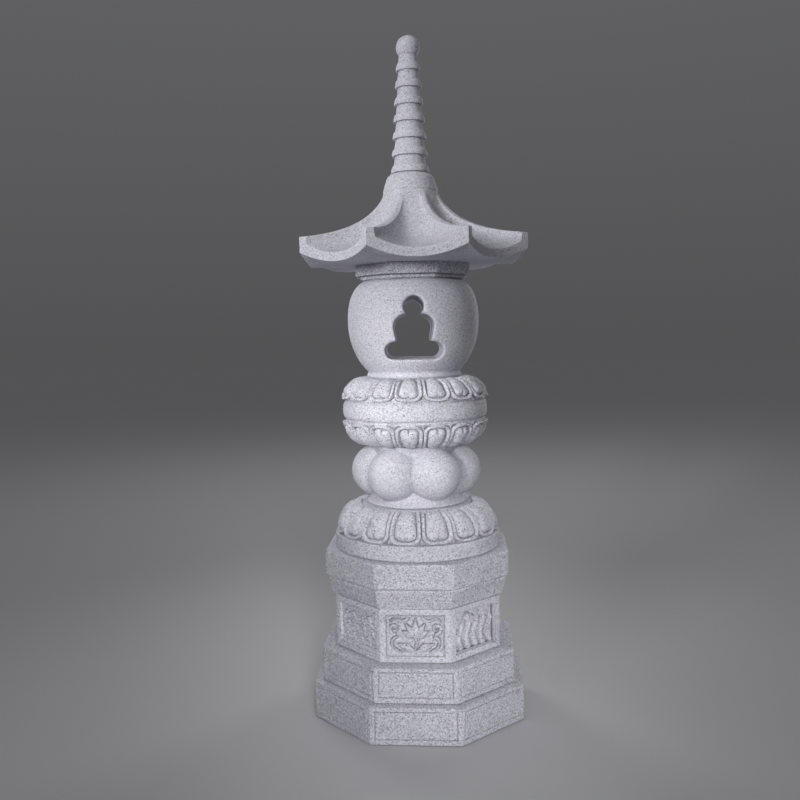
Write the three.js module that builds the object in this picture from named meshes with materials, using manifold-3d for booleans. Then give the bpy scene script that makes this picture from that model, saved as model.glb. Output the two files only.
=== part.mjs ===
// Carved granite pagoda lantern: eleven dressed stones stacked dry on one axis.
// Millimetres, +Z up. The origin lies on the ground, under the middle of the lowest stone,
// and -Y is the side that the window of the fire box faces.
import * as THREE from 'three';
import { ParametricGeometry } from 'three/addons/geometries/ParametricGeometry.js';
import { mergeVertices } from 'three/addons/utils/BufferGeometryUtils.js';
import Module from 'manifold-3d';

// Heights of the stones, in the order in which they are stacked
const HEIGHT = {
  lowerTier: 138,
  upperTier: 130,
  pedestal: 207,
  cornice: 165,
  lowerLotus: 166,
  lobed: 235,
  upperLotus: 252,
  fireBox: 374,
  collar: 60,
  roof: 348,
  spire: 525,
};

// Each stone sits a little turned on the one below, in degrees about +Z
const TURN = {
  base: -3.3,
  lowerLotus: 2.2,
  lobed: -4,
  upperLotus: 5.7,
  collar: 0.1,
  roof: 2.1,
};

// Eight-sided stones, by the distance of their corners from the axis
const SIDES = 8;
const LOWER_TIER_CORNER = 430;
const UPPER_TIER_CORNER = 394;
const PEDESTAL_CORNER = 338;
const PANEL_MARGIN = 25;
const PANEL_DEPTH = 6;
const CORNICE = { corner: 376, step: 370, taperTop: 367, taperBottom: 354, foot: 350 };
const CORNICE_LEVEL = { foot: 9, taper: 13, step: 61, stepTop: 70, band: 73 };
const COLLAR = { lowerCorner: 213, upperCorner: 233, lowerHeight: 13 };

// Lotus stones
const PETALS = 16;
const COLUMNS_PER_PETAL = 4;
const LOTUS_BAND_RADIUS = 320;
const LOTUS_BAND_HEIGHT = 58;

// Lobed stone
const LOBES = 6;
const LOBE_RADIUS = 100.5;
const LOBE_CENTRE_RADIUS = 152.5;
const LOBE_CENTRE_HEIGHT = 125;
const LOBED_CORE_RADIUS = 150;
const LOBED_FOOT = { radius: 193, height: 12, flareTop: 50 };
const LOBED_HEAD = { radius: 181, height: 8, flareBottom: 45 };

// Fire box: a barrel on a thin foot ring, with a seated figure's outline cut straight through
const FIRE_BOX = { foot: 182, footHeight: 14, neck: 176, neckHeight: 28, belly: 254, bellyHeight: 225, top: 192 };
const FIRE_BOX_SEGMENTS = 56;
const FIGURE_HEAD = { radius: 38, height: 270 };
const FIGURE_SHOULDER = { half: 74.5, height: 194 };
const FIGURE_WAIST = { half: 65, height: 145 };
const FIGURE_SEAT = { half: 107.5, bottom: 76, top: 140 };
const FIGURE_NECK_ANGLE = THREE.MathUtils.degToRad(45);

// Roof, from its flat underside up. Its eaves bow in between the corners.
const EAVE_MIDDLE = { radius: 393, bottom: 0, top: 34 };
const EAVE_CORNER = { radius: 455, bottom: 40, top: 100 };
const ROOF_CAP = { lower: 105, lowerHeight: 282, upper: 89, upperHeight: 337, bed: 76 };
const SOFFIT_FLAT_RADIUS = 250;
const CREST_EDGE = { eave: 22, cap: 13 };
const WALL_FOOT = { eave: 26, cap: 20 };
const FOOT_RISE = { eave: 0.63, cap: 0.3 };
const SCOOP_POWER = 2.7;
const ARCH_POWER = 2.2;

// Spire: seven rings on a slightly tapering shaft, under a jewel
const RINGS = 7;
const RING_PITCH = 64.3;
const RING_HEIGHT = 31;
const RING_BOTTOM = 4;
const RING_RADIUS = { lowest: 73.5, highest: 48 };
const SHAFT_RADIUS = { lowest: 64, highest: 36 };
const JEWEL = { radius: 45.5, height: 479, neck: 34.5 };
const SPIRE_SEGMENTS = 24;

const SIDE_ANGLE = (2 * Math.PI) / SIDES;
const HALF_SIDE = SIDE_ANGLE / 2;

const wasm = await Module();
wasm.setup();

// Only positions are kept, shared vertices are merged and faces without area are dropped
function welded(geometry) {
  const bare = geometry.clone();
  bare.deleteAttribute('normal');
  bare.deleteAttribute('uv');
  const merged = mergeVertices(bare, 1e-3);
  const corners = merged.getIndex().array;
  const kept = [];
  for (let i = 0; i < corners.length; i += 3) {
    const [a, b, c] = [corners[i], corners[i + 1], corners[i + 2]];
    if (a !== b && b !== c && c !== a) {
      kept.push(a, b, c);
    }
  }
  merged.setIndex(kept);
  return merged;
}

function toSolid(geometry) {
  const closed = welded(geometry);
  return new wasm.Manifold(
    new wasm.Mesh({
      numProp: 3,
      vertProperties: new Float32Array(closed.getAttribute('position').array),
      triVerts: new Uint32Array(closed.getIndex().array),
    }),
  );
}

function toGeometry(solid) {
  const { vertProperties, triVerts } = solid.getMesh();
  const geometry = new THREE.BufferGeometry();
  geometry.setAttribute('position', new THREE.BufferAttribute(new Float32Array(vertProperties), 3));
  geometry.setIndex(Array.from(triVerts));
  return geometry;
}

function point(radius, height) {
  return new THREE.Vector2(radius, height);
}

// Turns an outline that runs up from the axis and back to it
function turned(outline, segments, firstAngle = 0) {
  const geometry = new THREE.LatheGeometry(outline, segments, firstAngle);
  geometry.rotateX(Math.PI / 2);
  return welded(geometry);
}

// Eight flat sides, square to the X and Y axes and halfway between them
function octagonal(outline) {
  return turned(outline, SIDES, HALF_SIDE);
}

function octagonalSlab(corner, height) {
  return octagonal([point(0, 0), point(corner, 0), point(corner, height), point(0, height)]);
}

// Closed skin about the axis, from rows of points that run from the axis below to the axis above
function skin(rows, columns, pointAt) {
  const shape = (u, v, target) => {
    const column = columns[Math.round(u * columns.length) % columns.length];
    const { angle, radius, height } = pointAt(rows[Math.round(v * (rows.length - 1))], column);
    target.set(radius * Math.cos(angle), radius * Math.sin(angle), height);
  };
  return welded(new ParametricGeometry(shape, columns.length, rows.length - 1));
}

function pedestalBlock() {
  const apothem = PEDESTAL_CORNER * Math.cos(HALF_SIDE);
  const width = 2 * PEDESTAL_CORNER * Math.sin(HALF_SIDE) - 2 * PANEL_MARGIN;
  let block = toSolid(octagonalSlab(PEDESTAL_CORNER, HEIGHT.pedestal));
  for (let side = 0; side < SIDES; side += 1) {
    const panel = new THREE.BoxGeometry(2 * PANEL_DEPTH, width, HEIGHT.pedestal - 2 * PANEL_MARGIN);
    panel.translate(apothem, 0, HEIGHT.pedestal / 2);
    panel.rotateZ(side * SIDE_ANGLE);
    block = block.subtract(toSolid(panel));
  }
  return toGeometry(block);
}

function cornice() {
  return octagonal([
    point(0, 0),
    point(CORNICE.foot, 0),
    point(CORNICE.foot, CORNICE_LEVEL.foot),
    point(CORNICE.taperBottom, CORNICE_LEVEL.taper),
    point(CORNICE.taperTop, CORNICE_LEVEL.step),
    point(CORNICE.step, CORNICE_LEVEL.step),
    point(CORNICE.step, CORNICE_LEVEL.stepTop),
    point(CORNICE.corner, CORNICE_LEVEL.band),
    point(CORNICE.corner, HEIGHT.cornice),
    point(0, HEIGHT.cornice),
  ]);
}

// Columns fall on the valleys between petals and on the middles of the petals
function petalAngles() {
  const count = PETALS * COLUMNS_PER_PETAL;
  return Array.from({ length: count }, (_, column) => (column * 2 * Math.PI) / count);
}

// A row is [radius, height, belly, rise]: a petal's middle stands out by its belly,
// and the valley beside it is lifted by its rise
function petalPoint([radius, height, belly = 0, rise = 0], angle) {
  const pitch = (2 * Math.PI) / PETALS;
  const fromMiddle = 2 * Math.abs(((angle / pitch) % 1) - 0.5);
  const valley = fromMiddle * fromMiddle;
  return { angle, radius: radius - belly * valley, height: height + rise * valley };
}

function lowerLotusStone() {
  const rows = [
    [0, 0],
    [LOTUS_BAND_RADIUS, 0],
    [LOTUS_BAND_RADIUS, LOTUS_BAND_HEIGHT],
    [LOTUS_BAND_RADIUS - 18, LOTUS_BAND_HEIGHT + 3],
    [310, 64, 8, 6],
    [309, 84, 10, 3],
    [301, 107, 10],
    [289, 132, 8],
    [267, 156, 5],
    [243, 163, 2],
    [215, HEIGHT.lowerLotus],
    [0, HEIGHT.lowerLotus],
  ];
  return skin(rows, petalAngles(), petalPoint);
}

function upperLotusStone() {
  const rows = [
    [0, 0],
    [188, 0],
    [226, 7, 3],
    [251, 23, 6],
    [266, 46, 9],
    [273, 64, 9],
    [281, 74, 5],
    [282, 87, 2],
    [270, 98],
    [277, 106],
    [281, 133],
    [277, 160],
    [267, 170],
    [277, 173, 2],
    [283, 182, 8],
    [274, 196, 9],
    [261, 221, 8],
    [243, 239, 5],
    [217, 249, 2],
    [188, HEIGHT.upperLotus],
    [0, HEIGHT.upperLotus],
  ];
  return skin(rows, petalAngles(), petalPoint);
}

function lobedStone() {
  const headBottom = HEIGHT.lobed - LOBED_HEAD.height;
  let stone = toSolid(
    turned(
      [
        point(0, 0),
        point(LOBED_FOOT.radius, 0),
        point(LOBED_FOOT.radius, LOBED_FOOT.height),
        point(LOBED_CORE_RADIUS, LOBED_FOOT.flareTop),
        point(LOBED_CORE_RADIUS, HEIGHT.lobed - LOBED_HEAD.flareBottom),
        point(LOBED_HEAD.radius, headBottom),
        point(LOBED_HEAD.radius, HEIGHT.lobed),
        point(0, HEIGHT.lobed),
      ],
      48,
    ),
  );
  for (let lobe = 0; lobe < LOBES; lobe += 1) {
    const ball = new THREE.SphereGeometry(LOBE_RADIUS, 24, 12);
    ball.rotateX(Math.PI / 2);
    ball.translate(LOBE_CENTRE_RADIUS, 0, LOBE_CENTRE_HEIGHT);
    ball.rotateZ(((lobe + 0.5) * 2 * Math.PI) / LOBES - Math.PI / 2);
    stone = stone.add(toSolid(ball));
  }
  return toGeometry(stone);
}

// Seated figure: round head, sloping shoulders, slight waist and a seat with round ends
function figureShape() {
  const seatRadius = (FIGURE_SEAT.top - FIGURE_SEAT.bottom) / 2;
  const seatMiddle = (FIGURE_SEAT.top + FIGURE_SEAT.bottom) / 2;
  const seatEnd = FIGURE_SEAT.half - seatRadius;
  const quarter = Math.PI / 2;
  const neckHalf = FIGURE_HEAD.radius * Math.cos(FIGURE_NECK_ANGLE);
  const neckHeight = FIGURE_HEAD.height - FIGURE_HEAD.radius * Math.sin(FIGURE_NECK_ANGLE);
  const shape = new THREE.Shape();
  shape.moveTo(-seatEnd, FIGURE_SEAT.bottom);
  shape.absarc(seatEnd, seatMiddle, seatRadius, -quarter, quarter, false);
  shape.lineTo(FIGURE_WAIST.half, FIGURE_SEAT.top);
  shape.lineTo(FIGURE_WAIST.half, FIGURE_WAIST.height);
  shape.lineTo(FIGURE_SHOULDER.half, FIGURE_SHOULDER.height);
  shape.quadraticCurveTo(FIGURE_SHOULDER.half, neckHeight - 6, neckHalf, neckHeight);
  shape.absarc(0, FIGURE_HEAD.height, FIGURE_HEAD.radius, -FIGURE_NECK_ANGLE, Math.PI + FIGURE_NECK_ANGLE, false);
  shape.quadraticCurveTo(-FIGURE_SHOULDER.half, neckHeight - 6, -FIGURE_SHOULDER.half, FIGURE_SHOULDER.height);
  shape.lineTo(-FIGURE_WAIST.half, FIGURE_WAIST.height);
  shape.lineTo(-FIGURE_WAIST.half, FIGURE_SEAT.top);
  shape.absarc(-seatEnd, seatMiddle, seatRadius, quarter, 3 * quarter, false);
  return shape;
}

function fireBox() {
  const outline = new THREE.Path();
  outline.moveTo(0, 0);
  outline.lineTo(FIRE_BOX.foot, 0);
  outline.lineTo(FIRE_BOX.foot, FIRE_BOX.footHeight);
  outline.lineTo(FIRE_BOX.neck, FIRE_BOX.neckHeight);
  outline.bezierCurveTo(225, 70, FIRE_BOX.belly, 140, FIRE_BOX.belly, FIRE_BOX.bellyHeight);
  outline.bezierCurveTo(FIRE_BOX.belly, 300, 232, 352, FIRE_BOX.top, HEIGHT.fireBox);
  outline.lineTo(0, HEIGHT.fireBox);
  const barrel = toSolid(turned(outline.getPoints(7), FIRE_BOX_SEGMENTS));
  const reach = FIRE_BOX.belly + 20;
  const tunnel = new THREE.ExtrudeGeometry(figureShape(), { depth: 2 * reach, bevelEnabled: false, curveSegments: 10 });
  tunnel.rotateX(Math.PI / 2);
  tunnel.translate(0, reach, 0);
  return toGeometry(barrel.subtract(toSolid(tunnel)));
}

function roofCollar() {
  return octagonal([
    point(0, 0),
    point(COLLAR.lowerCorner, 0),
    point(COLLAR.lowerCorner, COLLAR.lowerHeight),
    point(COLLAR.upperCorner, COLLAR.lowerHeight),
    point(COLLAR.upperCorner, HEIGHT.collar),
    point(0, HEIGHT.collar),
  ]);
}

// Columns across one roof panel: 1 is the foot of the wall under a hip's crest, between 0 at the
// panel's middle and the hip, CREST is the crest's edge, and HIP is the line along its middle
const CREST = 2;
const HIP = 3;
const PANEL_STATIONS = [-HIP, -CREST, -1, -0.8, -0.55, -0.2, 0.2, 0.55, 0.8, 1, CREST];

function roofColumns() {
  const columns = [];
  for (let side = 0; side < SIDES; side += 1) {
    for (const station of PANEL_STATIONS) {
      columns.push({ side, station });
    }
  }
  return columns;
}

// Share of half a panel's width at a station, 0 at the middle and 1 at the hip
function acrossPanel(station, foot, crest) {
  const distance = Math.abs(station);
  if (distance === HIP) {
    return 1;
  }
  return distance === CREST ? crest : distance * foot;
}

// The scooped panel climbs late to the wall's foot, and the crest is flat
function scoop(station, footRise) {
  const distance = Math.abs(station);
  return distance > 1 ? 1 : footRise * distance ** SCOOP_POWER;
}

// A row gives the section at a panel's middle and the section at a hip. Its way from the eave, 0,
// to the cap, 1, sets the wall's foot. The underside has no crest and arches evenly.
function roofPoint({ middle, hip, way, underside }, { side, station }) {
  const lerp = THREE.MathUtils.lerp;
  const panelHalf = Math.max(middle.x, ROOF_CAP.upper) * Math.tan(HALF_SIDE);
  const foot = 1 - lerp(WALL_FOOT.eave, WALL_FOOT.cap, way) / panelHalf;
  const crest = 1 - lerp(CREST_EDGE.eave, CREST_EDGE.cap, way) / panelHalf;
  const across = acrossPanel(station, foot, crest);
  const fromMiddle = Math.sign(station) * Math.atan(across * Math.tan(HALF_SIDE));
  const hipStretch = middle.x > 0 ? (hip.x * Math.cos(HALF_SIDE)) / middle.x : 1;
  const rise = underside ? across ** ARCH_POWER : scoop(station, lerp(FOOT_RISE.eave, FOOT_RISE.cap, way));
  return {
    angle: side * SIDE_ANGLE + fromMiddle,
    radius: (middle.x / Math.cos(fromMiddle)) * (1 + (hipStretch - 1) * across * across),
    height: lerp(middle.y, hip.y, rise),
  };
}

function roof() {
  const lerp = THREE.MathUtils.lerp;
  const rows = [{ middle: point(0, 0), hip: point(0, 0), way: 0, underside: true }];
  const soffit = [0, 0.35, 0.7, 1];
  for (const share of soffit) {
    const middle = point(lerp(SOFFIT_FLAT_RADIUS, EAVE_MIDDLE.radius, share), EAVE_MIDDLE.bottom);
    const out = lerp(SOFFIT_FLAT_RADIUS / Math.cos(HALF_SIDE), EAVE_CORNER.radius, share);
    rows.push({ middle, hip: point(out, EAVE_CORNER.bottom * share ** 1.5), way: 0, underside: true });
  }
  const middleCurve = new THREE.CubicBezierCurve(
    point(EAVE_MIDDLE.radius, EAVE_MIDDLE.top),
    point(235, 39),
    point(125, 143),
    point(ROOF_CAP.lower, ROOF_CAP.lowerHeight),
  );
  const hipCurve = new THREE.CubicBezierCurve(
    point(EAVE_CORNER.radius, EAVE_CORNER.top),
    point(265, 111),
    point(145, 168),
    point(ROOF_CAP.lower, ROOF_CAP.lowerHeight),
  );
  const steps = 9;
  for (let step = 0; step <= steps; step += 1) {
    const way = step / steps;
    rows.push({ middle: middleCurve.getPoint(way), hip: hipCurve.getPoint(way), way });
  }
  for (const [radius, height] of [
    [ROOF_CAP.upper, ROOF_CAP.upperHeight],
    [ROOF_CAP.bed, HEIGHT.roof],
    [0, HEIGHT.roof],
  ]) {
    rows.push({ middle: point(radius, height), hip: point(radius, height), way: 1 });
  }
  return skin(rows, roofColumns(), roofPoint);
}

function spire() {
  const outline = [point(0, 0), point(SHAFT_RADIUS.lowest, 0)];
  for (let ring = 0; ring < RINGS; ring += 1) {
    const share = ring / (RINGS - 1);
    const radius = THREE.MathUtils.lerp(RING_RADIUS.lowest, RING_RADIUS.highest, share);
    const shaft = THREE.MathUtils.lerp(SHAFT_RADIUS.lowest, SHAFT_RADIUS.highest, share);
    const bottom = RING_BOTTOM + ring * RING_PITCH;
    outline.push(point(shaft, bottom));
    outline.push(point(radius, bottom));
    outline.push(point(radius, bottom + 0.45 * RING_HEIGHT));
    outline.push(point(radius - 0.3 * (radius - shaft), bottom + 0.8 * RING_HEIGHT));
    outline.push(point(shaft, bottom + RING_HEIGHT));
  }
  const bow = Math.acos(JEWEL.neck / JEWEL.radius);
  const jewel = new THREE.EllipseCurve(0, JEWEL.height, JEWEL.radius, HEIGHT.spire - JEWEL.height, -bow, Math.PI / 2);
  outline.push(...jewel.getPoints(9).slice(0, -1));
  outline.push(point(0, HEIGHT.spire));
  return turned(outline, SPIRE_SEGMENTS);
}

const granite = { roughness: 0.9, metalness: 0 };
const paleGranite = { ...granite, color: 0xc3c3cb };
const shadedGranite = { ...granite, color: 0xb4b4bd };

const pagoda = new THREE.Group();
let bed = 0;

function stack(name, geometry, height, turn, finish) {
  const stone = new THREE.Mesh(geometry, new THREE.MeshStandardMaterial(finish));
  stone.name = name;
  stone.position.z = bed;
  stone.rotation.z = THREE.MathUtils.degToRad(turn);
  pagoda.add(stone);
  bed += height;
}

stack('base_lower_tier', octagonalSlab(LOWER_TIER_CORNER, HEIGHT.lowerTier), HEIGHT.lowerTier, TURN.base, paleGranite);
stack('base_upper_tier', octagonalSlab(UPPER_TIER_CORNER, HEIGHT.upperTier), HEIGHT.upperTier, TURN.base, paleGranite);
stack('pedestal_block', pedestalBlock(), HEIGHT.pedestal, TURN.base, shadedGranite);
stack('pedestal_cornice', cornice(), HEIGHT.cornice, TURN.base, paleGranite);
stack('lower_lotus_stone', lowerLotusStone(), HEIGHT.lowerLotus, TURN.lowerLotus, shadedGranite);
stack('lobed_stone', lobedStone(), HEIGHT.lobed, TURN.lobed, paleGranite);
stack('upper_lotus_stone', upperLotusStone(), HEIGHT.upperLotus, TURN.upperLotus, shadedGranite);
stack('fire_box', fireBox(), HEIGHT.fireBox, 0, paleGranite);
stack('roof_collar', roofCollar(), HEIGHT.collar, TURN.collar, shadedGranite);
stack('roof', roof(), HEIGHT.roof, TURN.roof, paleGranite);
stack('spire', spire(), HEIGHT.spire, 0, paleGranite);

export default pagoda;
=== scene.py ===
"""Carved granite pagoda lantern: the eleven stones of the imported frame, dressed as a mason leaves them.

Lengths in the classes are millimetres, measured from each stone's own bed. Blender works in metres.
"""
from __future__ import annotations

import contextlib
import functools
import logging
import math
from dataclasses import dataclass
from enum import Enum
from typing import Any, Callable, Iterator, Sequence

import bmesh
import bpy
import numpy as np
from mathutils import Matrix, Vector


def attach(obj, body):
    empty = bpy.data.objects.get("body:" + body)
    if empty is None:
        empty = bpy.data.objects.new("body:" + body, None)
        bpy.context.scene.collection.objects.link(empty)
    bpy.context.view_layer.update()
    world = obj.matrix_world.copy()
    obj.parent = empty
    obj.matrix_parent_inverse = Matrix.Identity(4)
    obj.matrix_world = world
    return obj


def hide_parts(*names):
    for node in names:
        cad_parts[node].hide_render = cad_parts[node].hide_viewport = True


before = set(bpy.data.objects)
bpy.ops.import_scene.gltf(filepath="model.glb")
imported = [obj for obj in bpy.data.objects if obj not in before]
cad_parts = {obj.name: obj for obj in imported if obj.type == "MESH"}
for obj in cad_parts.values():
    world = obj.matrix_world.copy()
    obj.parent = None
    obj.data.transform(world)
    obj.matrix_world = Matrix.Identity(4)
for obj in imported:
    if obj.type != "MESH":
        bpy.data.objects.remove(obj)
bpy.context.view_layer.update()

Piece = bpy.types.Object
Edge = bmesh.types.BMEdge
Pair = tuple[float, float]

MM = 0.001
FULL_TURN = 2 * math.pi
SIDES = 8
SIDE_ANGLE = FULL_TURN / SIDES
HALF_SIDE = SIDE_ANGLE / 2
PETALS = 16
PETAL_PITCH = FULL_TURN / PETALS
BASE_TURN = -3.3
CREASE = 38.0
HOLLOW = "hollow"

log = logging.getLogger("pagoda")


class Slot(Enum):
    """Material slots of the record."""

    CHISELLED = "fine_chiselled_granite"
    CARVED = "carved_granite"
    HONED = "honed_granite"


class Part(Enum):
    """What is selected in edit mode, by Blender's name."""

    FACE = "FACE"
    EDGE = "EDGE"


# Modelling helpers


def pick(*pieces: Piece) -> None:
    """Deselect everything, then select some pieces.

    Args:
        pieces: The objects. The first becomes the active one.
    """
    bpy.ops.object.select_all(action="DESELECT")
    for piece in pieces:
        piece.select_set(True)
    bpy.context.view_layer.objects.active = pieces[0]


def primitive(name: str, add: Callable[..., Any], **settings: Any) -> Piece:
    """Add a primitive with nothing else selected.

    Args:
        name: Name of the new piece.
        add: The operator that adds it.
        settings: Values for the operator.

    Returns:
        The new piece.
    """
    bpy.ops.object.select_all(action="DESELECT")
    add(**settings)
    piece = bpy.context.active_object
    piece.name = piece.data.name = name
    return piece


@contextlib.contextmanager
def editing(piece: Piece) -> Iterator[None]:
    """Hold the piece in edit mode with nothing selected.

    Args:
        piece: The object to edit.
    """
    pick(piece)
    bpy.ops.object.mode_set(mode="EDIT")
    bpy.ops.mesh.select_all(action="DESELECT")
    try:
        yield
    finally:
        bpy.ops.object.mode_set(mode="OBJECT")


def choose(piece: Piece, part: Part, test: Callable[[Any], bool]) -> int:
    """Select only the faces or edges that pass a test, in edit mode.

    Args:
        piece: The object in edit mode.
        part: Whether faces or edges are selected.
        test: Says of a face or an edge whether it is wanted.

    Returns:
        The number selected.
    """
    bpy.ops.mesh.select_all(action="DESELECT")
    bpy.ops.mesh.select_mode(type=part.value)
    mesh = bmesh.from_edit_mesh(piece.data)
    wanted = [item for item in (mesh.faces if part is Part.FACE else mesh.edges) if test(item)]
    for item in wanted:
        item.select_set(True)
    bmesh.update_edit_mesh(piece.data)
    return len(wanted)


def draw(places: Sequence[Vector]) -> None:
    """Gather a new plane into one point, draw it out from place to place and select it all, in edit mode.

    Args:
        places: The places, in metres.
    """
    bpy.ops.mesh.select_mode(type="VERT")
    bpy.ops.mesh.select_all(action="SELECT")
    bpy.ops.mesh.merge(type="CENTER")
    bpy.ops.transform.translate(value=places[0])
    for here, there in zip(places, places[1:]):
        bpy.ops.mesh.extrude_region_move(TRANSFORM_OT_translate={"value": there - here})
    bpy.ops.mesh.select_all(action="SELECT")


def close_skin(doubles: float = 0.01) -> None:
    """Merge doubled points and turn every face outwards, in edit mode.

    Args:
        doubles: Points nearer to each other than this are merged, in mm.
    """
    bpy.ops.mesh.select_all(action="SELECT")
    bpy.ops.mesh.remove_doubles(threshold=doubles * MM)
    bpy.ops.mesh.normals_make_consistent(inside=False)


def step_in(width: float, rise: float = 0.0) -> None:
    """Inset each selected face by a width and raise it, both in mm, in edit mode."""
    bpy.ops.mesh.inset(thickness=width * MM, depth=rise * MM, use_individual=True)


def modify(piece: Piece, kind: str, **settings: Any) -> None:
    """Add a modifier and apply it.

    Args:
        piece: The object to change.
        kind: Blender's name of the modifier type.
        settings: Values for the modifier.
    """
    modifier = piece.modifiers.new(kind.lower(), kind)
    for name, value in settings.items():
        setattr(modifier, name, value)
    pick(piece)
    bpy.ops.object.modifier_apply(modifier=modifier.name)


def uneven(piece: Piece, amount: float, size: float) -> None:
    """Make a surface as uneven as hand tools leave it.

    Args:
        piece: The object to change.
        amount: Height from hollow to bump, in mm.
        size: Width of a bump, in mm.
    """
    clouds = bpy.data.textures.new(f"{piece.name}_unevenness", type="CLOUDS")
    clouds.noise_scale = size * MM
    clouds.noise_depth = 2
    modify(piece, "DISPLACE", texture=clouds, texture_coords="LOCAL", strength=amount * MM, mid_level=0.5)
    bpy.data.textures.remove(clouds)


def raise_relief(piece: Piece, heights: np.ndarray) -> None:
    """Raise each point along its normal by its own height.

    Args:
        piece: The object to change.
        heights: One height a point, in mm, none below zero.
    """
    levels = 1000
    top = float(heights.max())
    steps = np.rint(heights / top * levels).astype(int)
    group = piece.vertex_groups.new(name="relief")
    order = np.argsort(steps, kind="stable")
    starts = np.flatnonzero(np.diff(steps[order], prepend=-1))
    for members in np.split(order, starts[1:]):
        group.add(members.tolist(), steps[members[0]] / levels, "REPLACE")
    modify(piece, "DISPLACE", vertex_group=group.name, strength=top * MM, mid_level=0.0)
    piece.vertex_groups.clear()


def points_of(piece: Piece) -> np.ndarray:
    """Return the piece's points in mm, one row each."""
    flat = np.empty(3 * len(piece.data.vertices), dtype=np.float32)
    piece.data.vertices.foreach_get("co", flat)
    return flat.reshape(-1, 3).astype(float) / MM


def mark_hollows(piece: Piece) -> None:
    """Keep how deep each point lies in a hollow, in mm, below zero on an arris, for the painted shade in the
    hollows and the worn pale arrises.

    Args:
        piece: The finished piece.
    """
    rounds, stay, follow, shortest = 3, 0.4, 0.6, 0.5
    count = len(piece.data.vertices)
    places = points_of(piece)
    normals = np.empty(3 * count, dtype=np.float32)
    piece.data.vertices.foreach_get("normal", normals)
    pairs = np.empty(2 * len(piece.data.edges), dtype=np.int32)
    piece.data.edges.foreach_get("vertices", pairs)
    low, high = pairs.reshape(-1, 2).T
    ends, others = np.concatenate([low, high]), np.concatenate([high, low])
    near = 1 / np.maximum(np.linalg.norm(places[ends] - places[others], axis=1), shortest)
    whole = np.bincount(ends, weights=near, minlength=count)
    even = places
    for _ in range(rounds):
        pulled = [np.bincount(ends, weights=near * even[others, axis], minlength=count) / whole
                  for axis in range(3)]
        even = stay * even + follow * np.stack(pulled, axis=1)
    hollow = np.einsum("ij,ij->i", even - places, normals.reshape(-1, 3))
    piece.data.attributes.new(HOLLOW, "FLOAT", "POINT").data.foreach_set("value", hollow.astype(np.float32))


def curve(knots: Sequence[Sequence[float]], share: float) -> np.ndarray:
    """Return a point of a curve.

    Args:
        knots: The curve's three or four knots.
        share: How far along it the point lies, from 0 to 1.

    Returns:
        The point.
    """
    rest = 1 - share
    if len(knots) == 3:
        weights = (rest ** 2, 2 * share * rest, share * share)
    else:
        weights = (rest ** 3, 3 * share * rest ** 2, 3 * share * share * rest, share ** 3)
    return sum(weight * np.asarray(knot) for weight, knot in zip(weights, knots))


def curl(centre: Pair, radius: float, start: float, sweep: float, ends_at: float = 0.25,
         count: int = 18) -> list[Pair]:
    """Return the points of a spiral, or of an arc where it ends at its first radius.

    Args:
        centre: Its middle, in mm.
        radius: Its first radius, in mm.
        start: Its first angle, in degrees.
        sweep: How far it turns, in degrees.
        ends_at: Share of the first radius that is left at its end.
        count: Number of points.

    Returns:
        The points, in mm.
    """
    places = []
    for index in range(count):
        share = index / (count - 1)
        angle = math.radians(start + sweep * share)
        reach = radius * (1 + (ends_at - 1) * share)
        places.append((centre[0] + reach * math.cos(angle), centre[1] + reach * math.sin(angle)))
    return places


def eased(corners: Sequence[Sequence[float]], spacing: float = 0.0) -> np.ndarray:
    """Round the corners of an outline and space points along its straights.

    Args:
        corners: Radius and height in mm, then the corner's easing in mm where it is rounded, then 1
            where no points are wanted on the straight that leads to it.
        spacing: Largest distance between points on a straight in mm, or 0 for none between.

    Returns:
        The outline's points, radius and height in mm.
    """
    largest_share = 0.45
    plain = [np.array(corner[:2], dtype=float) for corner in corners]
    points = [plain[0]]
    for index in range(1, len(corners)):
        here = plain[index]
        ease = corners[index][2] if len(corners[index]) > 2 else 0.0
        if ease and index < len(corners) - 1:
            before, after = plain[index - 1] - here, plain[index + 1] - here
            reach = min(ease, largest_share * np.linalg.norm(before), largest_share * np.linalg.norm(after))
            start = here + before / np.linalg.norm(before) * reach
            end = here + after / np.linalg.norm(after) * reach
            bend = [curve((start, here, end), share) for share in (0, 0.33, 0.67, 1)]
        else:
            bend = [here]
        last, straight = points[-1], bend[0] - points[-1]
        dense = spacing > 0 and len(corners[index]) < 4
        parts = max(1, math.ceil(np.linalg.norm(straight) / spacing)) if dense else 1
        points.extend(last + straight * part / parts for part in range(1, parts))
        points.extend(bend)
    return np.array(points)


def bed_edge(radius: float, ease: float, height: float = 3.0) -> list[tuple[float, ...]]:
    """Return the foot of an outline, relieved by a finger's width so that the joint reads as a dark line.

    Args:
        radius: Radius of the stone at its foot, in mm.
        ease: Easing of its lower arris, in mm.
        height: Height of the relief, in mm.

    Returns:
        The first corners of the outline, from the axis to the stone's outer face.
    """
    relieved = 9
    inner = radius - relieved
    return [(0, 0), (inner, 0, 0, 1), (inner, height, 0, 1), (radius, height, ease, 1)]


def repeat_round(piece: Piece, count: int) -> None:
    """Join turned copies of a piece into a closed ring, each from its own copy of the mesh.

    Args:
        piece: The share of the ring that is copied, an equal share of a full turn.
        count: Number of shares in the ring.
    """
    copies = []
    for index in range(1, count):
        copy = piece.copy()
        copy.data = piece.data.copy()
        copy.data.transform(Matrix.Rotation(index * FULL_TURN / count, 4, "Z"))
        bpy.context.collection.objects.link(copy)
        copies.append(copy)
    pick(piece, *copies)
    bpy.ops.object.join()
    with editing(piece):
        close_skin(0.1)


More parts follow.
